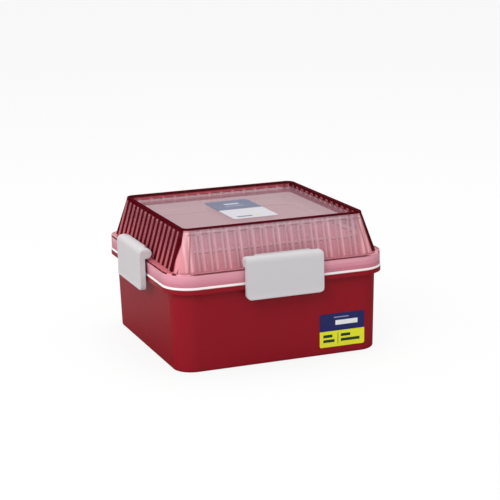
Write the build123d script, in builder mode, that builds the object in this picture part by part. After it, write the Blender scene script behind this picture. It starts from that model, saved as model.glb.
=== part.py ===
"""Two-tier food storage container: a red base with a sealed pink tray on it, and over
the tray a clear fluted cover that four swinging clips hold down.

Millimetres, +Z up. The origin is the middle of the underside. The front is -Y and the
left side is -X. The container is square in plan, so every width counts both ways.
"""
import math
import os

from build123d import *

# Base container: a drafted tub with an out-turned rim
rim_width = 200.0
rim_corner = 25.0
rim_depth = 3.7
rim_plate = 1.8
rim_skirt_wall = 1.6
base_height = 73.3
base_wall_setback = 5.3
base_taper = 2.05
base_corner = 17.5
base_wall = 2.0
base_floor = 2.2
base_edge_round = 2.0
base_inner_bevel = 3.0
foot_ring_width = 6.0
foot_recess = 0.8

# Seal ring, squeezed between the base rim and the tray
seal_height = 2.3
seal_strip_width = 6.2
seal_edge_bevel = 0.6
seal_tongue_width = 2.0
seal_tongue_height = 3.0

# Upper tray: a raised tub on a deck, which closes the base
tray_edge_inset = 0.5
tray_skirt_wall = 1.8
tray_skirt_height = 10.4
tray_deck_thickness = 1.8
tray_edge_bevel = 0.5
tray_wall = 2.0
tray_floor = 2.0
tray_mouth_setback = 17.2
tray_taper = 2.3
tray_foot_corner = 16.0
tray_tub_height = 26.6
tray_tub_sink = 10.0
tray_inner_bevel = 3.0
bead_reach = 1.2
bead_height = 2.0
plug_clearance = 0.35
plug_wall = 1.8
plug_reach = 4.0
groove_rib_wall = 1.6
groove_clearance = 0.15
ridge_wall = 1.8
ridge_height = 2.4
ridge_clearance = 0.4

# Cover: a fluted dome on a thin flange, with a sunk top panel
cover_flange_thickness = 1.2
cover_foot_setback = 6.5
cover_taper = 10.5
cover_foot_corner = 12.0
cover_top_corner = 7.5
cover_rise = 36.3
cover_wall = 2.2
cover_lip_height = 1.4
cover_lip_bevel = 0.5
flute_count = 13
flute_margin = 7.99
flute_depth = 1.1
panel_sink = 5.3
panel_thickness = 2.5

# Hinge rods on the cover flange, one at the middle of each side
rod_radius = 1.9
rod_overhang = 0.5
rod_rise = 7.4
lug_head_radius = 2.8
lug_thickness = 2.4
lug_stem_inner = 2.5
lug_stem_outer = 0.5
lug_place = 29.5

# Clips: a plate that hangs from the rod and hooks under the base rim
clip_width = 70.0
clip_plate_reach = 6.3
clip_plate_wall = 2.0
clip_side_wall = 1.8
clip_return_reach = 1.7
clip_drop = 32.5
clip_foot_wall = 1.8
clip_flare = 0.7
clip_flare_height = 5.5
clip_flare_corner = 1.0
shoulder_radius = 5.8
clip_top_corner = 3.0
clip_foot_corner = 4.5
clip_edge_bevel = 0.5
barrel_radius = 4.4
barrel_bore_clearance = 0.08
barrel_mouth = 3.3
barrel_mouth_angle = 190.0
rod_end_clearance = 0.4
lug_slot_clearance = 0.45
lug_slot_start = 94.0
lug_slot_end = 278.0
lug_slot_reach = 7.0
barrel_ridge_width = 50.0
barrel_ridge_height = 0.9
barrel_ridge_thickness = 1.2
barrel_ridge_angle = 106.0
hook_clearance = 0.35
hook_tip_height = 1.0
hook_slope_height = 3.0
hook_width = 54.0

# Stickers
label_thickness = 0.2
front_label_width = 42.3
front_label_height = 30.0
front_label_corner = 1.5
front_label_setback = 22.0
front_label_foot = 7.0
top_label_width = 42.0
top_label_depth = 81.0
top_label_corner = 4.0

# Heights and sizes that follow from the driving ones
base_top_width = rim_width - 2 * base_wall_setback
base_foot_width = base_top_width - 2 * base_taper
tray_mouth_width = rim_width - 2 * tray_mouth_setback
tray_foot_width = tray_mouth_width - 2 * tray_taper
cover_foot_width = rim_width - 2 * cover_foot_setback
cover_top_width = cover_foot_width - 2 * cover_taper
flute_pitch = (cover_top_width - 2 * flute_margin) / flute_count
front_label_right = rim_width / 2 - front_label_setback
base_draft = math.degrees(math.atan2((base_top_width - base_foot_width) / 2, base_height))
cavity_width = base_foot_width - 2 * base_wall
cavity_corner = base_corner - base_wall
mouth_growth = (base_height - base_floor) * math.tan(math.radians(base_draft))
seal_top = base_height + seal_height
deck_top = seal_top + tray_skirt_height
deck_under = deck_top - tray_deck_thickness
tray_edge_width = rim_width - 2 * tray_edge_inset
tray_edge_corner = rim_corner - tray_edge_inset
tongue_inset = tray_skirt_wall + groove_clearance
groove_rib_inset = tongue_inset + seal_tongue_width + groove_clearance
plug_width = cavity_width + 2 * (mouth_growth - plug_clearance)
plug_corner = cavity_corner + mouth_growth - plug_clearance
tub_foot = deck_top - tray_tub_sink
tub_top = tub_foot + tray_tub_height
tub_draft = math.degrees(math.atan2((tray_mouth_width - tray_foot_width) / 2, tray_tub_height))
cover_wall_foot = deck_top + cover_flange_thickness
cover_top_height = deck_top + cover_rise
panel_top = cover_top_height - panel_sink
panel_under = panel_top - panel_thickness
lip_under = cover_top_height - cover_lip_height
rod_reach = tray_edge_width / 2 + rod_overhang
rod_length = 2 * lug_place + lug_thickness
rod_height = deck_top + rod_rise
clip_foot_height = rod_height - clip_drop
plate_face = rod_reach + clip_plate_reach
plate_back = plate_face - clip_plate_wall
flare_face = plate_face + clip_flare
flare_foot = clip_foot_height + clip_flare_corner
flare_top = clip_foot_height + clip_flare_height
return_edge = rod_reach + clip_return_reach
barrel_top = rod_height + barrel_radius
barrel_foot = rod_height - barrel_radius
shoulder_height = barrel_top - shoulder_radius
hook_top = base_height - rim_depth - hook_clearance
hook_tip = rim_width / 2 + hook_clearance
level_margin = 0.01
sides = range(4)


def ring(width, corner, thickness):
    """Draw a square ring with round corners, of one thickness, inside the given width."""
    RectangleRounded(width, width, corner)
    inner = width - 2 * thickness
    RectangleRounded(inner, inner, corner - thickness, mode=Mode.SUBTRACT)


def turned(x, y, quarter):
    """Turn a plan point by quarter turns about the middle."""
    for _ in range(quarter):
        x, y = -y, x
    return (x, y)


def side_plane(quarter, along=0.0):
    """Plane across one side: its x axis points out of the container and its y axis up."""
    outward = turned(0.0, -1.0, quarter)
    sideways = turned(-1.0, 0.0, quarter)
    origin = (sideways[0] * along, sideways[1] * along, 0.0)
    return Plane(origin=origin, x_dir=(*outward, 0.0), z_dir=(*sideways, 0.0))


def floor_edges(height):
    """Edges of the part being built that lie at one height."""
    return edges().filter_by_position(Axis.Z, height - level_margin, height + level_margin)


def cover_half(height):
    """Half the width of the cover wall over its crests at one height."""
    share = (height - cover_wall_foot) / (cover_top_height - cover_wall_foot)
    return (cover_foot_width + share * (cover_top_width - cover_foot_width)) / 2


def cover_corner(height):
    """Corner radius of the cover wall at one height."""
    share = (height - cover_wall_foot) / (cover_top_height - cover_wall_foot)
    return cover_foot_corner + share * (cover_top_corner - cover_foot_corner)


def fluted_outline(height, inset):
    """Outline of the cover wall at one height, a given distance inside its outer face.

    Each side is plain beside the corners and swells into flutes of one pitch between
    them, with a sharp valley where two flutes meet.
    """
    crest = -(cover_half(height) - inset)
    valley = crest + flute_depth
    radius = cover_corner(height) - inset
    straight = -crest - radius
    first = -flute_pitch * flute_count / 2
    bulge = ((flute_pitch / 2) ** 2 + flute_depth**2) / (2 * flute_depth)
    quarter_drop = bulge - math.sqrt(bulge**2 - (flute_pitch / 4) ** 2)
    diagonal = radius * math.sqrt(0.5)
    with BuildSketch(Plane.XY.offset(height)) as outline:
        with BuildLine():
            for side in sides:
                Line(turned(-straight, crest, side), turned(first, crest, side))
                ThreePointArc(
                    turned(first, crest, side),
                    turned(first + flute_pitch / 4, crest + quarter_drop, side),
                    turned(first + flute_pitch / 2, valley, side),
                )
                for flute in range(flute_count - 1):
                    start = first + flute_pitch * (flute + 0.5)
                    ThreePointArc(
                        turned(start, valley, side),
                        turned(start + flute_pitch / 2, crest, side),
                        turned(start + flute_pitch, valley, side),
                    )
                ThreePointArc(
                    turned(-first - flute_pitch / 2, valley, side),
                    turned(-first - flute_pitch / 4, crest + quarter_drop, side),
                    turned(-first, crest, side),
                )
                Line(turned(-first, crest, side), turned(straight, crest, side))
                ThreePointArc(
                    turned(straight, crest, side),
                    turned(straight + diagonal, crest + radius - diagonal, side),
                    turned(-crest, crest + radius, side),
                )
        make_face()
    return outline.sketch


# Base container
with BuildPart() as base_container:
    with BuildSketch(Plane.XY):
        RectangleRounded(base_foot_width, base_foot_width, base_corner)
    extrude(amount=base_height, taper=-base_draft)
    fillet(faces().sort_by(Axis.Z)[0].edges(), base_edge_round)
    with BuildSketch(Plane.XY.offset(base_height - rim_depth)):
        ring(rim_width, rim_corner, rim_skirt_wall)
    extrude(amount=rim_depth)
    with BuildSketch(Plane.XY.offset(base_height - rim_plate)):
        RectangleRounded(rim_width, rim_width, rim_corner)
    extrude(amount=rim_plate)
    with BuildSketch(Plane.XY.offset(base_floor)):
        RectangleRounded(cavity_width, cavity_width, cavity_corner)
    extrude(amount=base_height - base_floor, taper=-base_draft, mode=Mode.SUBTRACT)
    chamfer(floor_edges(base_floor), base_inner_bevel)
    with BuildSketch(Plane.XY):
        recess_width = base_foot_width - 2 * (base_edge_round + foot_ring_width)
        RectangleRounded(recess_width, recess_width, base_corner - base_edge_round - foot_ring_width)
    extrude(amount=foot_recess, mode=Mode.SUBTRACT)

# Seal ring: a flat strip that shows as a line all round, with a tongue up into the tray
with BuildPart() as seal_ring:
    with BuildSketch(Plane.XY.offset(base_height)):
        ring(rim_width, rim_corner, seal_strip_width)
    extrude(amount=seal_height)
    outer_edges = [edge for flat in faces().filter_by(Plane.XY) for edge in flat.outer_wire().edges()]
    chamfer(outer_edges, seal_edge_bevel)
    with BuildSketch(Plane.XY.offset(seal_top)):
        ring(tray_edge_width - 2 * tongue_inset, tray_edge_corner - tongue_inset, seal_tongue_width)
    extrude(amount=seal_tongue_height)

# Upper tray: a deep tub on a deck with a skirt, a plug into the base and a groove for the seal
with BuildPart() as upper_tray:
    with BuildSketch(Plane.XY.offset(deck_under)):
        RectangleRounded(tray_edge_width, tray_edge_width, tray_edge_corner)
    extrude(amount=tray_deck_thickness)
    chamfer(faces().sort_by(Axis.Z)[-1].edges(), tray_edge_bevel)
    with BuildSketch(Plane.XY.offset(seal_top)):
        ring(tray_edge_width, tray_edge_corner, tray_skirt_wall)
        ring(tray_edge_width - 2 * groove_rib_inset, tray_edge_corner - groove_rib_inset, groove_rib_wall)
    extrude(amount=tray_skirt_height - tray_deck_thickness)
    with BuildSketch(Plane.XY.offset(base_height - plug_reach)):
        ring(plug_width, plug_corner, plug_wall)
    extrude(amount=deck_under - base_height + plug_reach)
    with BuildSketch(Plane.XY.offset(deck_top)):
        ridge_level = deck_top + ridge_height
        ridge_width = 2 * (cover_half(ridge_level) - cover_wall - flute_depth - ridge_clearance)
        ring(ridge_width, cover_corner(ridge_level) - cover_wall, ridge_wall)
    extrude(amount=ridge_height)
    with BuildSketch(Plane.XY.offset(tub_foot)):
        RectangleRounded(tray_foot_width, tray_foot_width, tray_foot_corner)
    extrude(amount=tray_tub_height, taper=-tub_draft)
    with BuildSketch(Plane.XY.offset(tub_top - bead_height)):
        bead_width = tray_mouth_width + 2 * bead_reach
        RectangleRounded(bead_width, bead_width, tray_foot_corner + bead_reach)
    extrude(amount=bead_height)
    with BuildSketch(Plane.XY.offset(tub_foot + tray_floor)):
        tub_inner_width = tray_foot_width - 2 * tray_wall
        RectangleRounded(tub_inner_width, tub_inner_width, tray_foot_corner - tray_wall)
    extrude(amount=tray_tub_height - tray_floor, taper=-tub_draft, mode=Mode.SUBTRACT)
    chamfer(floor_edges(tub_foot + tray_floor), tray_inner_bevel)

# Cover: fluted walls on a thin flange, a plain lip, a sunk panel, and a rod at each side
with BuildPart() as cover:
    with BuildSketch(Plane.XY.offset(deck_top)):
        RectangleRounded(tray_edge_width, tray_edge_width, tray_edge_corner)
    extrude(amount=cover_flange_thickness)
    loft([fluted_outline(cover_wall_foot, 0), fluted_outline(lip_under, 0)], ruled=True)
    with BuildSketch(Plane.XY.offset(lip_under)):
        RectangleRounded(2 * cover_half(lip_under), 2 * cover_half(lip_under), cover_corner(lip_under))
    extrude(amount=cover_lip_height)
    loft(
        [fluted_outline(deck_top, cover_wall), fluted_outline(panel_under, cover_wall)],
        ruled=True,
        mode=Mode.SUBTRACT,
    )
    loft(
        [fluted_outline(panel_top, cover_wall), fluted_outline(lip_under, cover_wall)],
        ruled=True,
        mode=Mode.SUBTRACT,
    )
    with BuildSketch(Plane.XY.offset(lip_under)):
        lip_inset = cover_wall + flute_depth
        lip_inner = 2 * (cover_half(lip_under) - lip_inset)
        RectangleRounded(lip_inner, lip_inner, cover_corner(lip_under) - lip_inset)
    extrude(amount=cover_lip_height, mode=Mode.SUBTRACT)
    chamfer(faces().sort_by(Axis.Z)[-1].edges(), cover_lip_bevel)
    for side in sides:
        for place in (-lug_place, lug_place):
            with BuildSketch(side_plane(side, place)):
                with Locations((rod_reach, rod_height)):
                    Circle(lug_head_radius)
                    stem_height = rod_height - deck_top
                    stem_width = lug_stem_inner - lug_stem_outer
                    with Locations((-lug_stem_inner, -stem_height)):
                        Rectangle(stem_width, stem_height, align=Align.MIN)
            extrude(amount=lug_thickness / 2, both=True)
        with BuildSketch(side_plane(side)):
            with Locations((rod_reach, rod_height)):
                Circle(rod_radius)
        extrude(amount=rod_length / 2, both=True)

# Clip at the front: plate, side returns, hook and a split barrel that snaps over the rod
with BuildPart() as clip_front:
    with BuildSketch(side_plane(0)):
        with BuildLine():
            Line((return_edge, barrel_foot), (return_edge, clip_foot_height))
            Line((return_edge, clip_foot_height), (plate_face, clip_foot_height))
            Line((plate_face, clip_foot_height), (flare_face, flare_foot))
            ThreePointArc(
                (flare_face, flare_foot),
                (plate_face + clip_flare / 4, (flare_foot + flare_top) / 2),
                (plate_face, flare_top),
            )
            Line((plate_face, flare_top), (plate_face, shoulder_height))
            CenterArc((plate_face - shoulder_radius, shoulder_height), shoulder_radius, 0, 90)
            Line((plate_face - shoulder_radius, barrel_top), (rod_reach, barrel_top))
            CenterArc((rod_reach, rod_height), barrel_radius, 90, 180)
            Line((rod_reach, barrel_foot), (return_edge, barrel_foot))
        make_face()
    extrude(amount=clip_width / 2, both=True)
    with BuildSketch(Plane(origin=(0, -rod_reach, 0), x_dir=(1, 0, 0), z_dir=(0, -1, 0))):
        with Locations((0, clip_foot_height)):
            Rectangle(clip_width, barrel_top - clip_foot_height, align=(Align.CENTER, Align.MIN))
        fillet(vertices().group_by(Axis.Y)[0], clip_foot_corner)
        fillet(vertices().group_by(Axis.Y)[-1], clip_top_corner)
    extrude(amount=2 * clip_plate_reach, both=True, mode=Mode.INTERSECT)
    chamfer(faces().sort_by(Axis.Y)[0].edges(), clip_edge_bevel)
    with BuildSketch(side_plane(0)):
        with Locations((rod_reach, clip_foot_height + clip_foot_wall)):
            pocket_depth = clip_plate_reach - clip_plate_wall
            pocket_height = barrel_foot - clip_foot_height - clip_foot_wall
            Rectangle(pocket_depth, pocket_height, align=Align.MIN)
    extrude(amount=clip_width / 2 - clip_side_wall, both=True, mode=Mode.SUBTRACT)
    with BuildSketch(side_plane(0)):
        Polygon(
            (plate_back, hook_top),
            (hook_tip, hook_top),
            (hook_tip, hook_top - hook_tip_height),
            (plate_back, hook_top - hook_tip_height - hook_slope_height),
            align=None,
        )
    extrude(amount=hook_width / 2, both=True)
    with BuildSketch(side_plane(0)):
        with Locations((rod_reach, rod_height)):
            with PolarLocations(barrel_radius, 1, start_angle=barrel_ridge_angle):
                Rectangle(2 * barrel_ridge_height, barrel_ridge_thickness)
    extrude(amount=barrel_ridge_width / 2, both=True)
    with BuildSketch(side_plane(0)):
        with Locations((rod_reach, rod_height)):
            Circle(rod_radius + barrel_bore_clearance)
            with PolarLocations(0, 1, start_angle=barrel_mouth_angle):
                Rectangle(lug_slot_reach, barrel_mouth, align=(Align.MIN, Align.CENTER))
    extrude(amount=rod_length / 2 + rod_end_clearance, both=True, mode=Mode.SUBTRACT)
    for place in (-lug_place, lug_place):
        with BuildSketch(side_plane(0, place)):
            with Locations((rod_reach, rod_height)):
                Circle(lug_head_radius + lug_slot_clearance)
            with BuildLine():
                slot_arc = CenterArc(
                    (rod_reach, rod_height), lug_slot_reach, lug_slot_start, lug_slot_end - lug_slot_start
                )
                Line(slot_arc @ 1, (rod_reach, rod_height))
                Line((rod_reach, rod_height), slot_arc @ 0)
            make_face()
        extrude(amount=lug_thickness / 2 + lug_slot_clearance, both=True, mode=Mode.SUBTRACT)

# The other three clips are the same clip turned to their own sides
with BuildPart() as clip_right:
    add(clip_front.part, rotation=(0, 0, 90))

with BuildPart() as clip_back:
    add(clip_front.part, rotation=(0, 0, 180))

with BuildPart() as clip_left:
    add(clip_front.part, rotation=(0, 0, 270))

# Stickers: one low on the right of the front wall, one on the sunk panel of the cover
with BuildPart() as front_label:
    label_height = front_label_foot + front_label_height / 2
    wall_slope = math.radians(base_draft)
    wall_face = base_foot_width / 2 + label_height * math.tan(wall_slope)
    label_origin = (front_label_right - front_label_width / 2, -wall_face, label_height)
    label_normal = (0, -math.cos(wall_slope), -math.sin(wall_slope))
    with BuildSketch(Plane(origin=label_origin, x_dir=(1, 0, 0), z_dir=label_normal)):
        RectangleRounded(front_label_width, front_label_height, front_label_corner)
    extrude(amount=label_thickness)

with BuildPart() as top_label:
    with BuildSketch(Plane.XY.offset(panel_top)):
        RectangleRounded(top_label_width, top_label_depth, top_label_corner)
    extrude(amount=label_thickness)

pieces = {
    "base_container": base_container,
    "front_label": front_label,
    "seal_ring": seal_ring,
    "upper_tray": upper_tray,
    "cover": cover,
    "top_label": top_label,
    "clip_front": clip_front,
    "clip_right": clip_right,
    "clip_back": clip_back,
    "clip_left": clip_left,
}
os.makedirs("parts", exist_ok=True)
for piece_name, piece in pieces.items():
    piece.part.label = piece_name
    export_step(piece.part, f"parts/{piece_name}.step")
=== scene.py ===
"""Looks of the two-tier food storage container: red base, white seal, pink tray, clear
fluted cover, grey clips and two plain stickers, on a pale floor in soft light.

Metres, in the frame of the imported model: +Z up, the front at -Y.
"""
import math

import bpy
from mathutils import Matrix, Vector


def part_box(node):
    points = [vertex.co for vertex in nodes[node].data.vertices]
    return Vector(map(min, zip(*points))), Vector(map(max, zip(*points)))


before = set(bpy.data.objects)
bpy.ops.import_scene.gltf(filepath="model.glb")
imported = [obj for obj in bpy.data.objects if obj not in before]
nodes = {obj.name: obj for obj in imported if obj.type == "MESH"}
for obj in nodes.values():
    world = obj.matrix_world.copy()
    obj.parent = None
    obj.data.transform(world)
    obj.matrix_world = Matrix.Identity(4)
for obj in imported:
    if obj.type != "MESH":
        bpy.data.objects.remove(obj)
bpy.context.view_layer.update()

MM = 0.001

# Camera, as solved from the photograph
CAMERA_TARGET = Vector((0.0081, 0.0, 0.0782))
CAMERA_DISTANCE = 1.3854
CAMERA_YAW = math.radians(20.59)
CAMERA_PITCH = math.radians(13.07)
CAMERA_ROLL = math.radians(-1.38)
CAMERA_LENS = 110.0

# Levels of the cover and the tray, from the cover's own box
LIP_THICKNESS = 1.4 * MM
PANEL_DEPTH = 5.3 * MM
SKIRT_HEIGHT = 10.4 * MM
BEAD_HEIGHT = 14.4 * MM
cover_low, cover_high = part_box("cover")
LIP_UNDER = cover_high[2] - LIP_THICKNESS
PANEL_TOP = cover_high[2] - PANEL_DEPTH
DECK_TOP = cover_low[2]
SEAL_TOP = DECK_TOP - SKIRT_HEIGHT
BEAD_FOOT = DECK_TOP + BEAD_HEIGHT
LEDGE_MIDDLE = BEAD_FOOT + 1.6 * MM
FLANGE_EDGE = 99.5 * MM

# The cover's flutes, and its corners as distances from the middle of a wall
FLUTE_PITCH = 0.01154
DASH_LEVEL = 0.117
CORNER_START, CORNER_FULL = 0.074, 0.078
TANGENT_FOOT, TANGENT_LEAN = 0.0816, -0.17
WALL_NORMAL_RISE = 0.28

# Where the cover's masks begin and are full, by how far a wall is turned away
BESIDE_RAMP = (0.25, 0.55)
TURNED_RAMP = (0.2, 0.42)
GRAZING_RAMP = (0.3, 0.75)
# The same, by how far a face looks up
FLAT_RAMP = (0.6, 0.95)

# Refractive indices
PLASTIC_IOR = 1.49
FILM_IOR = 1.48
CLEAR_IOR = 1.5

NOISE_MIDDLE = 0.5
HALF_PITCH = 0.5
FULL_WHITE = (1.0, 1.0, 1.0, 1.0)
NUMBER = "NodeSocketFloat"
VECTOR = "NodeSocketVector"


def srgb(red, green, blue):
    """Linear colour from the 0 to 255 values of a display colour."""
    def channel(value):
        value = value / 255
        return value / 12.92 if value <= 0.04045 else ((value + 0.055) / 1.055) ** 2.4
    return (channel(red), channel(green), channel(blue), 1.0)


def grey(level):
    """Neutral colour of one linear level."""
    return (level, level, level, 1.0)


def place(tree, kind, **settings):
    """Add a node and set its attributes and, by name, its input values."""
    node = tree.nodes.new(kind)
    for name, value in settings.items():
        if hasattr(node, name):
            setattr(node, name, value)
        else:
            node.inputs[name.replace("_", " ")].default_value = value
    return node


def wire(tree, *pairs):
    """Link output sockets to input sockets, given in pairs."""
    for start, end in pairs:
        tree.links.new(start, end)


def feed(tree, socket, value):
    """Link a socket to another, or set its value."""
    if isinstance(value, bpy.types.NodeSocket):
        tree.links.new(value, socket)
    else:
        socket.default_value = value


def maths(tree, operation, *values):
    """Add a Math node fed by sockets or numbers, and give back its output."""
    node = place(tree, "ShaderNodeMath", operation=operation)
    for socket, value in zip(node.inputs, values):
        feed(tree, socket, value)
    return node.outputs[0]


def product(tree, first, *others):
    """Product of values, each a socket or a number."""
    for other in others:
        first = maths(tree, "MULTIPLY", first, other)
    return first


def largest(tree, first, *others):
    """Largest of several values."""
    for other in others:
        first = maths(tree, "MAXIMUM", first, other)
    return first


def inverse(tree, value):
    """One less a value."""
    return maths(tree, "SUBTRACT", 1.0, value)


def step_up(tree, value, low, high):
    """Smooth step of a value from 0 at one level to 1 at another."""
    node = place(tree, "ShaderNodeMapRange", interpolation_type="SMOOTHSTEP")
    for label, setting in (("From Min", low), ("From Max", high), ("Value", value)):
        feed(tree, node.inputs[label], setting)
    return node.outputs[0]


def near_level(tree, value, level, full, none):
    """1 closer to a level than one distance, falling to 0 at another."""
    apart = maths(tree, "ABSOLUTE", maths(tree, "SUBTRACT", value, level))
    return inverse(tree, step_up(tree, apart, full, none))


def blend_colours(tree, mask, below, above):
    """Mix two colours, each a socket or a value, by a mask, and give back the result."""
    node = place(tree, "ShaderNodeMix", data_type="RGBA")
    for label, value in (("Factor", mask), (6, below), (7, above)):
        feed(tree, node.inputs[label], value)
    return node.outputs[2]


def toned(tree, colour, tone):
    """Scale a colour, a socket or a value, by a tone."""
    scale = place(tree, "ShaderNodeVectorMath", operation="SCALE")
    linked = isinstance(colour, bpy.types.NodeSocket)
    feed(tree, scale.inputs[0], colour if linked else colour[:3])
    feed(tree, scale.inputs["Scale"], tone)
    return scale.outputs[0]


def axes_of(tree, vector):
    """Sockets of a vector's X, Y and Z."""
    split = place(tree, "ShaderNodeSeparateXYZ")
    wire(tree, (vector, split.inputs[0]))
    return split.outputs


def own_place(tree):
    """Place of a point in its piece's own frame."""
    return place(tree, "ShaderNodeTexCoord").outputs["Object"]


def new_group(name, inputs, outputs):
    """Start a shader node group with named sockets, and give its tree and ends."""
    tree = bpy.data.node_groups.new(name, "ShaderNodeTree")
    for label, value in inputs:
        socket = tree.interface.new_socket(label, in_out="INPUT", socket_type=NUMBER)
        socket.default_value = value
    for label, kind in outputs:
        tree.interface.new_socket(label, in_out="OUTPUT", socket_type=kind)
    return tree, tree.nodes.new("NodeGroupInput"), tree.nodes.new("NodeGroupOutput")


def moulded_surface():
    """Fine grain, slow tone drift and light handling marks of a moulded plastic face."""
    tree, start, end = new_group(
        "moulded_surface",
        [
            ("Grain Scale", 900.0),
            ("Drift", 0.06),
            ("Roughness", 0.35),
            ("Roughness Spread", 0.08),
            ("Mark Amount", 0.5),
        ],
        [("Tone", NUMBER), ("Roughness", NUMBER), ("Height", NUMBER)],
    )
    mark_level, mark_roughness, mark_depth = 0.66, 0.5, 0.4
    spot = own_place(tree)
    grain = place(tree, "ShaderNodeTexNoise", Detail=3.0, Roughness=0.6)
    drift = place(tree, "ShaderNodeTexNoise", Scale=14.0, Detail=2.0, Roughness=0.5)
    smears = place(
        tree, "ShaderNodeTexNoise", Scale=45.0, Detail=4.0, Roughness=0.65, Distortion=1.2
    )
    stretch = place(
        tree, "ShaderNodeMapping", Scale=(60.0, 60.0, 900.0), Rotation=(0.5, 0.35, 0.2)
    )
    hairlines = place(tree, "ShaderNodeTexNoise", Scale=1.0, Detail=2.0, Roughness=0.7)
    wire(
        tree,
        *[(spot, node.inputs["Vector"]) for node in (grain, drift, smears, stretch)],
        (stretch.outputs[0], hairlines.inputs["Vector"]),
        (start.outputs["Grain Scale"], grain.inputs["Scale"]),
    )
    centred = maths(tree, "SUBTRACT", drift.outputs[0], NOISE_MIDDLE)
    tone = maths(tree, "MULTIPLY_ADD", centred, start.outputs["Drift"], 1.0)
    marks = maths(tree, "GREATER_THAN", hairlines.outputs[0], mark_level)
    marks = product(tree, marks, start.outputs["Mark Amount"])
    smear = maths(tree, "SUBTRACT", smears.outputs[0], NOISE_MIDDLE)
    spread = maths(tree, "ADD", smear, product(tree, marks, mark_roughness))
    rough = maths(
        tree,
        "MULTIPLY_ADD",
        spread,
        start.outputs["Roughness Spread"],
        start.outputs["Roughness"],
    )
    height = maths(tree, "SUBTRACT", grain.outputs[0], product(tree, marks, mark_depth))
    wire(tree, *zip((tone, rough, height), end.inputs))
    return tree


def printed_bar():
    """Mask of one plain printed rectangle, in millimetres on the sticker's own plane."""
    labels = ("Across", "Up", "Left", "Foot", "Width", "Height")
    tree, start, end = new_group(
        "printed_bar", [(label, 0.0) for label in labels], [("Mask", NUMBER)]
    )
    inside = []
    for along, low, size in (("Across", "Left", "Width"), ("Up", "Foot", "Height")):
        place_in = maths(tree, "SUBTRACT", start.outputs[along], start.outputs[low])
        after = maths(tree, "GREATER_THAN", place_in, 0.0)
        before = maths(tree, "LESS_THAN", place_in, start.outputs[size])
        inside.append(product(tree, after, before))
    wire(tree, (product(tree, *inside), end.inputs["Mask"]))
    return tree


def flute_marks():
    """Marks of the cover's fluted walls.

    Valley is the pair of lines beside each valley that carry painted highlights, Trough the
    valley's own width, painted dark as shade on turned walls, Dash the row of short marks at
    the panel's level, painted dark as shade, Reach the distance out from the middle, Corner
    the rounded corners, painted light and, where turned away, painted dark as shade, and Corner
    Line the line where they begin, painted dark as shade. Wall Normal is the flat wall's own
    normal, without the flutes.
    """
    masks = ("Valley", "Trough", "Dash", "Reach", "Corner", "Corner Line")
    tree, start, end = new_group(
        "flute_marks",
        [("Pitch", FLUTE_PITCH), ("Dash Level", DASH_LEVEL)],
        [(mask, NUMBER) for mask in masks] + [("Wall Normal", VECTOR)],
    )
    # Distances from a valley are shares of the pitch
    line_place, line_core, line_edge = 0.2, 0.01, 0.14
    trough_core, trough_edge = 0.22, 0.38
    dash_start, dash_full = 0.12, 0.2
    # The painted highlight lines differ in strength along the wall
    uneven_rate, uneven_swing, uneven_mean = 433.0, 0.2, 0.8

    axes = axes_of(tree, own_place(tree))
    side = maths(tree, "ABSOLUTE", axes["X"])
    front = maths(tree, "ABSOLUTE", axes["Y"])
    along = maths(tree, "MINIMUM", side, front)
    reach = maths(tree, "MAXIMUM", side, front)

    pitches = maths(tree, "DIVIDE", along, start.outputs["Pitch"])
    phase = maths(tree, "FRACT", maths(tree, "ADD", pitches, HALF_PITCH))
    off_valley = maths(tree, "ABSOLUTE", maths(tree, "SUBTRACT", phase, HALF_PITCH))
    uneven = maths(tree, "SINE", product(tree, along, uneven_rate))
    uneven = maths(tree, "MULTIPLY_ADD", uneven, uneven_swing, uneven_mean)
    lines = near_level(tree, off_valley, line_place, line_core, line_edge)
    valley = product(tree, lines, uneven)
    trough = inverse(tree, step_up(tree, off_valley, trough_core, trough_edge))

    row = near_level(tree, axes["Z"], start.outputs["Dash Level"], 0.2 * MM, 0.9 * MM)
    dash = product(tree, row, step_up(tree, off_valley, dash_start, dash_full))

    corner = step_up(tree, along, CORNER_START, CORNER_FULL)
    climb = maths(tree, "SUBTRACT", axes["Z"], DECK_TOP)
    tangent = maths(tree, "MULTIPLY_ADD", climb, TANGENT_LEAN, TANGENT_FOOT)
    corner_line = near_level(tree, along, tangent, 0.3 * MM, 1.6 * MM)

    on_side = maths(tree, "GREATER_THAN", side, front)
    normal = place(tree, "ShaderNodeCombineXYZ", Z=WALL_NORMAL_RISE)
    for axis, on_wall in (("X", on_side), ("Y", inverse(tree, on_side))):
        outward = maths(tree, "SIGN", axes[axis])
        wire(tree, (product(tree, outward, on_wall), normal.inputs[axis]))
    wall_normal = place(tree, "ShaderNodeVectorMath", operation="NORMALIZE")
    wire(tree, (normal.outputs[0], wall_normal.inputs[0]))

    marks = (valley, trough, dash, reach, corner, corner_line, wall_normal.outputs[0])
    wire(tree, *zip(marks, end.inputs))
    return tree


SURFACE = moulded_surface()
BAR = printed_bar()
FLUTES = flute_marks()


def new_material(name):
    """Start an empty material, and give back the material and its tree."""
    material = bpy.data.materials.new(name)
    material.use_nodes = True
    material.node_tree.nodes.clear()
    return material, material.node_tree


def surface_group(tree, grain_scale, drift, roughness, spread, marks):
    """Place the moulded surface group with one piece's own values."""
    group = place(tree, "ShaderNodeGroup", node_tree=SURFACE)
    values = (grain_scale, drift, roughness, spread, marks)
    for socket, value in zip(group.inputs, values):
        socket.default_value = value
    return group.outputs


def put_out(tree, shader, colour, surface, strength, distance):
    """Feed a shader its colour, roughness and grain, and put it out."""
    bump = place(tree, "ShaderNodeBump", Strength=strength, Distance=distance)
    output = place(tree, "ShaderNodeOutputMaterial")
    wire(
        tree,
        (colour, shader.inputs["Base Color"]),
        (surface["Roughness"], shader.inputs["Roughness"]),
        (surface["Height"], bump.inputs["Height"]),
        (bump.outputs["Normal"], shader.inputs["Normal"]),
        (shader.outputs[0], output.inputs["Surface"]),
    )


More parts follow.
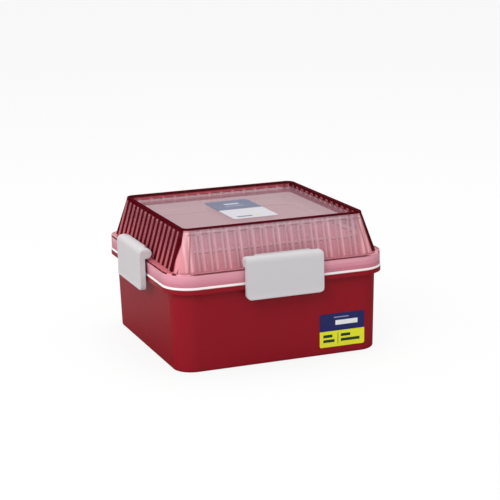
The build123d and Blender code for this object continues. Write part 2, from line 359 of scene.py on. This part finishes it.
def moulded_plastic(name, colour, finish, bump, **shader_values):
    """Opaque moulded plastic with grain, tone drift and light marks."""
    material, tree = new_material(name)
    surface = surface_group(tree, **finish)
    shader = place(tree, "ShaderNodeBsdfPrincipled", IOR=PLASTIC_IOR, **shader_values)
    put_out(tree, shader, toned(tree, colour, surface["Tone"]), surface, **bump)
    return material


def milky_tray(name, skirt, skirt_top_painted_light, tub_painted_brighter, ledge_light):
    """Milky plastic, painted lighter towards the skirt's top and with level streaks as painted
    light through the translucent skirt, the inner walls painted brighter to make up for light lost
    through the cover, a painted dark line of shade in the crease at the bead's foot and a painted
    highlight along the ledge.
    """
    painted_streak_share = 1.1
    crease_shade_level = 0.2
    material, tree = new_material(name)
    surface = surface_group(
        tree, grain_scale=900.0, drift=0.08, roughness=0.24, spread=0.08, marks=0.4
    )
    spot = own_place(tree)
    level = axes_of(tree, spot)["Z"]
    stretch = place(tree, "ShaderNodeMapping", Scale=(9.0, 9.0, 1100.0))
    streak_noise = place(tree, "ShaderNodeTexNoise", Scale=1.0, Detail=3.0, Roughness=0.6)
    wire(
        tree,
        (spot, stretch.inputs["Vector"]),
        (stretch.outputs[0], streak_noise.inputs["Vector"]),
    )
    # The skirt is painted lighter towards its top and with level streaks: painted light through
    # the translucent skirt and the parts inside it
    painted_streaks = maths(tree, "SUBTRACT", streak_noise.outputs[0], NOISE_MIDDLE)
    rise = step_up(tree, level, SEAL_TOP, DECK_TOP)
    rise = maths(tree, "ADD", rise, product(tree, painted_streaks, painted_streak_share))
    rise = maths(tree, "MINIMUM", maths(tree, "MAXIMUM", rise, 0.0), 1.0)
    inside = step_up(tree, level, DECK_TOP - 0.1 * MM, DECK_TOP + 0.2 * MM)
    # Painted shade: a dark line in the crease at the bead's foot
    crease = near_level(tree, level, BEAD_FOOT, 0.4 * MM, 1.1 * MM)
    # Painted highlight: a light band along the ledge inside
    ledge = near_level(tree, level, LEDGE_MIDDLE, 0.4 * MM, 1.0 * MM)
    crease_shade_colour = tuple(crease_shade_level * value for value in tub_painted_brighter[:3]) + (1.0,)
    colour = blend_colours(tree, rise, skirt, skirt_top_painted_light)
    for mask, above in (
        # Inside, the walls are painted brighter than the skirt to make up for light lost through
        # the cover
        (inside, tub_painted_brighter),
        (crease, crease_shade_colour),
        (product(tree, ledge, inside), ledge_light),
    ):
        colour = blend_colours(tree, mask, colour, above)
    shader = place(tree, "ShaderNodeBsdfPrincipled", IOR=PLASTIC_IOR)
    colour = toned(tree, colour, surface["Tone"])
    put_out(tree, shader, colour, surface, strength=0.04, distance=0.2 * MM)
    return material


def cover_masks(tree):
    """Masks of the cover by place on the moulding and by how far its walls are turned away, for
    its tints, its painted shade and its painted highlights.
    """
    highlight_line_share, corner_light_share = 0.5, 0.7
    dash_share, corner_line_share, rim_share = 0.7, 0.6, 0.9
    lip_shade_front, lip_shade_beside = 0.55, 0.45
    flutes = place(tree, "ShaderNodeGroup", node_tree=FLUTES).outputs
    level = axes_of(tree, own_place(tree))["Z"]
    wall_turn = place(tree, "ShaderNodeLayerWeight", Blend=0.5)
    wire(tree, (flutes["Wall Normal"], wall_turn.inputs["Normal"]))
    own_turn = place(tree, "ShaderNodeLayerWeight", Blend=0.5).outputs["Facing"]
    beside = step_up(tree, wall_turn.outputs["Facing"], *BESIDE_RAMP)
    turned = step_up(tree, own_turn, *TURNED_RAMP)
    grazing = step_up(tree, own_turn, *GRAZING_RAMP)

    # The renderer turns the normal towards the viewer, so it points in on the far walls
    geometry = place(tree, "ShaderNodeNewGeometry").outputs
    outward = place(tree, "ShaderNodeVectorMath", operation="DOT_PRODUCT")
    wire(
        tree,
        (geometry["Normal"], outward.inputs[0]),
        (geometry["Position"], outward.inputs[1]),
    )
    from_inside = maths(tree, "LESS_THAN", outward.outputs["Value"], 0.0)
    upward = maths(tree, "ABSOLUTE", axes_of(tree, geometry["Normal"])["Z"])
    flat = step_up(tree, upward, *FLAT_RAMP)
    wall = inverse(tree, flat)
    side_wall = product(tree, beside, wall)

    # Zones by level or reach, each from where it begins to where it is full
    climb = step_up(tree, level, DECK_TOP, PANEL_TOP)
    over_flange = step_up(tree, level, DECK_TOP + 1.0 * MM, DECK_TOP + 2.0 * MM)
    over_deck = step_up(tree, level, DECK_TOP, PANEL_TOP - 5.0 * MM)
    over_panel = step_up(tree, level, PANEL_TOP + 0.1 * MM, PANEL_TOP + 0.5 * MM)
    # Painted shade: a band under the lip on the outside, and behind the lip where the wall is seen
    # from inside
    painted_shade_under_lip = step_up(tree, level, LIP_UNDER - 2.6 * MM, LIP_UNDER - 1.0 * MM)
    painted_shade_behind_lip = step_up(tree, level, LIP_UNDER - 1.6 * MM, LIP_UNDER - 0.4 * MM)
    lip = step_up(tree, level, LIP_UNDER - 0.6 * MM, LIP_UNDER)
    rim = step_up(tree, flutes["Reach"], FLANGE_EDGE - 1.2 * MM, FLANGE_EDGE - 0.2 * MM)

    # Painted shade: dark flute valleys and dark corners on walls turned away, a band under the
    # lip, a row of dashes and the line where the corners begin
    lip_shade = maths(tree, "MULTIPLY_ADD", beside, lip_shade_beside, lip_shade_front)
    painted_shade = largest(
        tree,
        product(tree, flutes["Trough"], beside),
        product(tree, flutes["Corner"], turned, over_flange),
        product(tree, painted_shade_under_lip, lip_shade),
        product(tree, flutes["Dash"], dash_share),
        product(tree, flutes["Corner Line"], corner_line_share),
    )
    # Painted shade on the walls and behind the lip, with the thick lip and flange rim, dark red by
    # their thickness
    edge = largest(
        tree,
        product(tree, painted_shade, wall),
        product(tree, from_inside, painted_shade_behind_lip),
        lip,
        product(tree, rim, rim_share),
    )
    return {
        "climb": climb,
        "beside": beside,
        "grazing": grazing,
        "side wall": side_wall,
        "far wall": product(tree, from_inside, wall),
        "inner collar": product(tree, from_inside, over_panel, wall),
        "panel": product(tree, flat, over_deck, inverse(tree, over_panel)),
        # Painted highlight lines beside the flute valleys, and painted light on the rounded
        # corners
        "painted highlight line": product(tree, flutes["Valley"], inverse(tree, beside), wall, highlight_line_share),
        "painted light corner": product(tree, flutes["Corner"], wall, corner_light_share),
        "edge": edge,
    }


def clear_plastic(name, front_tints, side_tints, glint, corner_painted_light, deep_red_and_shade, panel, collar):
    """See-through tinted plastic, glossy on the flats, dark red on the thick lip and flange rim
    and in painted shade, with painted highlight lines and painted light on the corners.

    The tints of the walls are given for their foot and their top.
    """
    clear_alpha, grazing_alpha, most_alpha = 0.33, 0.36, 0.94
    coat_full, coat_change = 0.95, -0.94
    far_wall_share = 0.7
    material, tree = new_material(name)
    surface = surface_group(
        tree, grain_scale=260.0, drift=0.10, roughness=0.06, spread=0.012, marks=0.3
    )
    masks = cover_masks(tree)

    colour = blend_colours(tree, masks["climb"], *front_tints)
    side_tint = blend_colours(tree, masks["climb"], *side_tints)
    for mask, above in (
        (masks["beside"], side_tint),
        # Painted light on the corners and painted highlight lines
        (masks["painted light corner"], corner_painted_light),
        (masks["painted highlight line"], glint),
        (product(tree, masks["far wall"], far_wall_share), collar),
        # The panel's greyish tint is partly painted reflection haze of the pale surroundings; the
        # coat adds real reflections
        (masks["panel"], panel),
        (masks["inner collar"], collar),
        # The dark red of thick parts and of painted shade
        (masks["edge"], deep_red_and_shade),
    ):
        colour = blend_colours(tree, mask, colour, above)

    # The panel grows more opaque when grazed: a painted reflection veil
    grazed_panel = product(tree, masks["panel"], masks["grazing"])
    alpha = maths(tree, "MULTIPLY_ADD", grazed_panel, grazing_alpha, clear_alpha)
    # Painted highlights, painted shade and thick parts also make the plastic less clear
    for mask, share in (
        ("inner collar", 0.5),
        ("painted highlight line", 0.35),
        ("painted light corner", 0.38),
        ("side wall", 0.13),
        ("far wall", 0.16),
        ("edge", 0.7),
    ):
        alpha = maths(tree, "MULTIPLY_ADD", masks[mask], share, alpha)
    alpha = maths(tree, "MINIMUM", alpha, most_alpha)

    dulled = largest(tree, masks["edge"], masks["side wall"], masks["inner collar"])
    gloss = maths(tree, "MULTIPLY_ADD", dulled, coat_change, coat_full)
    shader = place(
        tree,
        "ShaderNodeBsdfPrincipled",
        IOR=CLEAR_IOR,
        Specular_IOR_Level=0.0,
        Coat_IOR=CLEAR_IOR,
        Coat_Roughness=0.05,
    )
    wire(tree, (gloss, shader.inputs["Coat Weight"]), (alpha, shader.inputs["Alpha"]))
    put_out(tree, shader, colour, surface, strength=0.015, distance=0.1 * MM)
    return material


def sticker(name, up_axis, ground, bars, roughness):
    """Printed film: a ground colour under bars of (left, foot, width, height, colour) in mm."""
    material, tree = new_material(name)
    surface = surface_group(
        tree, grain_scale=700.0, drift=0.05, roughness=roughness, spread=0.12, marks=0.4
    )
    axes = axes_of(tree, own_place(tree))
    across = maths(tree, "DIVIDE", axes["X"], MM)
    up = maths(tree, "DIVIDE", axes[up_axis], MM)
    colour = toned(tree, ground, surface["Tone"])
    for left, foot, width, height, ink in bars:
        bar = place(
            tree,
            "ShaderNodeGroup",
            node_tree=BAR,
            Left=left,
            Foot=foot,
            Width=width,
            Height=height,
        )
        wire(tree, (across, bar.inputs["Across"]), (up, bar.inputs["Up"]))
        colour = blend_colours(tree, bar.outputs["Mask"], colour, ink)
    shader = place(tree, "ShaderNodeBsdfPrincipled", IOR=FILM_IOR)
    put_out(tree, shader, colour, surface, strength=0.05, distance=0.1 * MM)
    return material


# Plastics of the container
RED = moulded_plastic(
    "red_plastic_satin",
    (0.262, 0.0025, 0.011, 1.0),
    {"grain_scale": 1400.0, "drift": 0.10, "roughness": 0.30, "spread": 0.10, "marks": 0.5},
    {"strength": 0.05, "distance": 0.2 * MM},
    Specular_IOR_Level=0.38,
)
PINK = milky_tray(
    "pink_plastic_milky",
    skirt=(0.54, 0.18, 0.24, 1.0),
    # The skirt's lighter top is painted light through the translucent skirt
    skirt_top_painted_light=(0.70, 0.32, 0.39, 1.0),
    # The inner walls' colour is painted brighter to make up for light lost through the cover
    tub_painted_brighter=(0.92, 0.40, 0.48, 1.0),
    # A painted highlight along the ledge
    ledge_light=(1.0, 0.72, 0.78, 1.0),
)
WHITE = moulded_plastic(
    "white_silicone_soft",
    (0.86, 0.83, 0.82, 1.0),
    {"grain_scale": 1200.0, "drift": 0.06, "roughness": 0.5, "spread": 0.10, "marks": 0.2},
    {"strength": 0.06, "distance": 0.1 * MM},
)
GREY = moulded_plastic(
    "grey_plastic_matte",
    (0.56, 0.54, 0.56, 1.0),
    {"grain_scale": 2200.0, "drift": 0.05, "roughness": 0.46, "spread": 0.10, "marks": 0.4},
    {"strength": 0.08, "distance": 0.2 * MM},
)
CLEAR = clear_plastic(
    "clear_red_plastic",
    front_tints=((1.0, 0.42, 0.50, 1.0), (0.84, 0.50, 0.58, 1.0)),
    side_tints=((0.90, 0.26, 0.31, 1.0), (0.50, 0.17, 0.20, 1.0)),
    # Colours of the painted highlight lines and of the painted light on the corners
    glint=(0.95, 0.70, 0.74, 1.0),
    corner_painted_light=(1.0, 0.40, 0.45, 1.0),
    # The dark red of thick parts and of painted shade
    deep_red_and_shade=(0.075, 0.0015, 0.005, 1.0),
    # The panel's greyish tint is partly painted reflection haze
    panel=(0.38, 0.185, 0.225, 1.0),
    collar=(0.80, 0.17, 0.22, 1.0),
)

# Stickers: plain bars stand where the real ones are printed
NAVY = srgb(34, 38, 98)
# The top sticker's navy is painted lighter and greyer than the front's: painted reflection haze of
# the surroundings on the flat top
NAVY_TOP_PAINTED_HAZE = srgb(70, 80, 118)
YELLOW = srgb(222, 224, 30)
PAPER = srgb(225, 225, 228)
DARK_INK = srgb(36, 60, 48)
FRONT_STICKER = sticker(
    "front_sticker_film",
    "Z",
    NAVY,
    [
        (30.0, 0.0, 60.0, 21.3, YELLOW),
        (50.5, 26.5, 21.0, 4.2, PAPER),
        (49.0, 33.0, 14.0, 0.8, srgb(150, 155, 190)),
        (39.0, 15.6, 8.6, 2.6, DARK_INK),
        (39.0, 11.2, 10.6, 2.6, DARK_INK),
        (52.6, 9.4, 0.5, 10.4, DARK_INK),
        (55.6, 15.6, 9.0, 2.6, DARK_INK),
        (55.6, 11.2, 18.0, 2.6, DARK_INK),
    ],
    roughness=0.35,
)
TOP_STICKER = sticker(
    "top_sticker_film",
    "Y",
    srgb(200, 197, 205),
    [
        (-25.0, 0.0, 60.0, 50.0, NAVY_TOP_PAINTED_HAZE),
        (-7.0, 22.0, 14.0, 4.5, srgb(190, 195, 210)),
        (-9.0, 14.0, 18.0, 2.0, srgb(150, 156, 180)),
        (-15.0, -34.0, 14.0, 4.0, srgb(70, 78, 100)),
        (2.0, -34.0, 4.0, 4.0, srgb(190, 200, 60)),
    ],
    roughness=0.3,
)

FINISHES = {
    "base_container": RED,
    "front_label": FRONT_STICKER,
    "seal_ring": WHITE,
    "upper_tray": PINK,
    "cover": CLEAR,
    "top_label": TOP_STICKER,
    "clip_front": GREY,
    "clip_right": GREY,
    "clip_back": GREY,
    "clip_left": GREY,
}
for node_name, finish in FINISHES.items():
    for slot in nodes[node_name].material_slots:
        slot.material = finish


def hairline_shrink(node, distance):
    """Draw a piece's faces in by a hair, so that none lies in its neighbour's plane."""
    shrink = node.modifiers.new("hairline_shrink", "DISPLACE")
    shrink.direction = "NORMAL"
    shrink.mid_level = 0.0
    shrink.strength = -distance


hairline_shrink(nodes["cover"], 0.02 * MM)


def background_rays(tree):
    """1 for rays that the camera sees straight or through clear plastic, and the mirrored ones."""
    path = place(tree, "ShaderNodeLightPath").outputs
    seen = maths(tree, "MAXIMUM", path["Is Camera Ray"], path["Is Transmission Ray"])
    return seen, path["Is Glossy Ray"]


def mix_out(tree, kind, share, first, second):
    """Mix two shaders by a share, and put the mix out to a node of a kind."""
    mix = place(tree, "ShaderNodeMixShader")
    output = place(tree, kind)
    wire(
        tree,
        (share, mix.inputs[0]),
        (first.outputs[0], mix.inputs[1]),
        (second.outputs[0], mix.inputs[2]),
        (mix.outputs[0], output.inputs["Surface"]),
    )


def pale_floor():
    """Wide pale floor that shows white and keeps the object's shadow."""
    half, level = 14.0, -0.4 * MM
    glow_share = 0.85
    matte_level, mirrored_level, patch_level = 0.85, 0.01, 0.22
    patch_near, patch_far = (-0.25, 0.3), (0.5, 1.1)
    mesh = bpy.data.meshes.new("floor")
    corners = [(-half, -half), (half, -half), (half, half), (-half, half)]
    mesh.from_pydata([(x, y, level) for x, y in corners], [], [(0, 1, 2, 3)])
    floor = bpy.data.objects.new("floor", mesh)
    bpy.context.scene.collection.objects.link(floor)

    material, tree = new_material("floor_pale")
    seen, mirrored = background_rays(tree)
    matte = place(tree, "ShaderNodeBsdfDiffuse")
    depth = axes_of(tree, own_place(tree))["Y"]
    near = step_up(tree, depth, *patch_near)
    far = step_up(tree, depth, *patch_far)
    patch = product(tree, near, inverse(tree, far))
    dim = blend_colours(tree, patch, grey(mirrored_level), grey(patch_level))
    pale = blend_colours(tree, mirrored, grey(matte_level), dim)
    wire(tree, (pale, matte.inputs["Color"]))
    glow = place(tree, "ShaderNodeEmission", Color=FULL_WHITE, Strength=1.0)
    share = product(tree, seen, glow_share)
    mix_out(tree, "ShaderNodeOutputMaterial", share, matte, glow)
    mesh.materials.append(material)


def soft_world():
    """Even pale surroundings, white where the camera sees them, dimmer in mirrored rays."""
    even = 0.7
    mirrored_front, mirrored_behind, mirrored_loss = 0.3, 0.6, 0.6
    behind_ramp, above_ramp = (-0.2, 0.7), (0.1, 0.22)
    world = bpy.data.worlds.new("surroundings")
    bpy.context.scene.world = world
    world.use_nodes = True
    tree = world.node_tree
    tree.nodes.clear()
    seen, mirrored = background_rays(tree)
    heading = axes_of(tree, place(tree, "ShaderNodeTexCoord").outputs["Generated"])
    behind = step_up(tree, heading["Y"], *behind_ramp)
    above = step_up(tree, heading["Z"], *above_ramp)
    glow = maths(tree, "MULTIPLY_ADD", behind, mirrored_behind, mirrored_front)
    glow = product(tree, above, glow)
    change = product(tree, mirrored, maths(tree, "SUBTRACT", glow, mirrored_loss))
    light = place(tree, "ShaderNodeBackground", Color=FULL_WHITE)
    white = place(tree, "ShaderNodeBackground", Color=FULL_WHITE, Strength=1.0)
    wire(tree, (maths(tree, "ADD", change, even), light.inputs["Strength"]))
    mix_out(tree, "ShaderNodeOutputWorld", seen, light, white)


def lamp(name, where, target, size, power, colour=(1.0, 1.0, 1.0)):
    """Soft square lamp at a place, turned to a point."""
    data = bpy.data.lights.new(name, "AREA")
    data.size = size
    data.energy = power
    data.color = colour
    light = bpy.data.objects.new(name, data)
    light.location = where
    aim = Vector(target) - Vector(where)
    light.rotation_euler = aim.to_track_quat("-Z", "Y").to_euler()
    bpy.context.scene.collection.objects.link(light)


def photo_camera():
    """Camera at the photograph's viewing angle."""
    back = Vector((
        -math.sin(CAMERA_YAW) * math.cos(CAMERA_PITCH),
        -math.cos(CAMERA_YAW) * math.cos(CAMERA_PITCH),
        math.sin(CAMERA_PITCH),
    ))
    level = (-back).cross(Vector((0, 0, 1))).normalized()
    upright = level.cross(-back)
    right = level * math.cos(CAMERA_ROLL) + upright * math.sin(CAMERA_ROLL)
    up = upright * math.cos(CAMERA_ROLL) - level * math.sin(CAMERA_ROLL)
    data = bpy.data.cameras.new("photo_camera")
    data.lens = CAMERA_LENS
    camera = bpy.data.objects.new("photo_camera", data)
    turn = Matrix((right, up, back)).transposed().to_4x4()
    camera.matrix_world = Matrix.Translation(CAMERA_TARGET + back * CAMERA_DISTANCE) @ turn
    bpy.context.scene.collection.objects.link(camera)
    bpy.context.scene.camera = camera


pale_floor()
soft_world()
BODY_MIDDLE = (0, 0, 0.06)
WARM_WHITE = (1.0, 0.96, 0.92)
lamp("key", where=(-1.2, -1.3, 1.4), target=BODY_MIDDLE, size=0.9, power=15.0)
lamp("side", where=(-1.8, -0.2, 0.9), target=BODY_MIDDLE, size=0.8, power=7.5, colour=WARM_WHITE)
lamp("top", where=(0.2, 0.3, 1.7), target=(0, 0, 0.1), size=1.2, power=9.0)
photo_camera()
bpy.context.scene.view_settings.view_transform = "Standard"
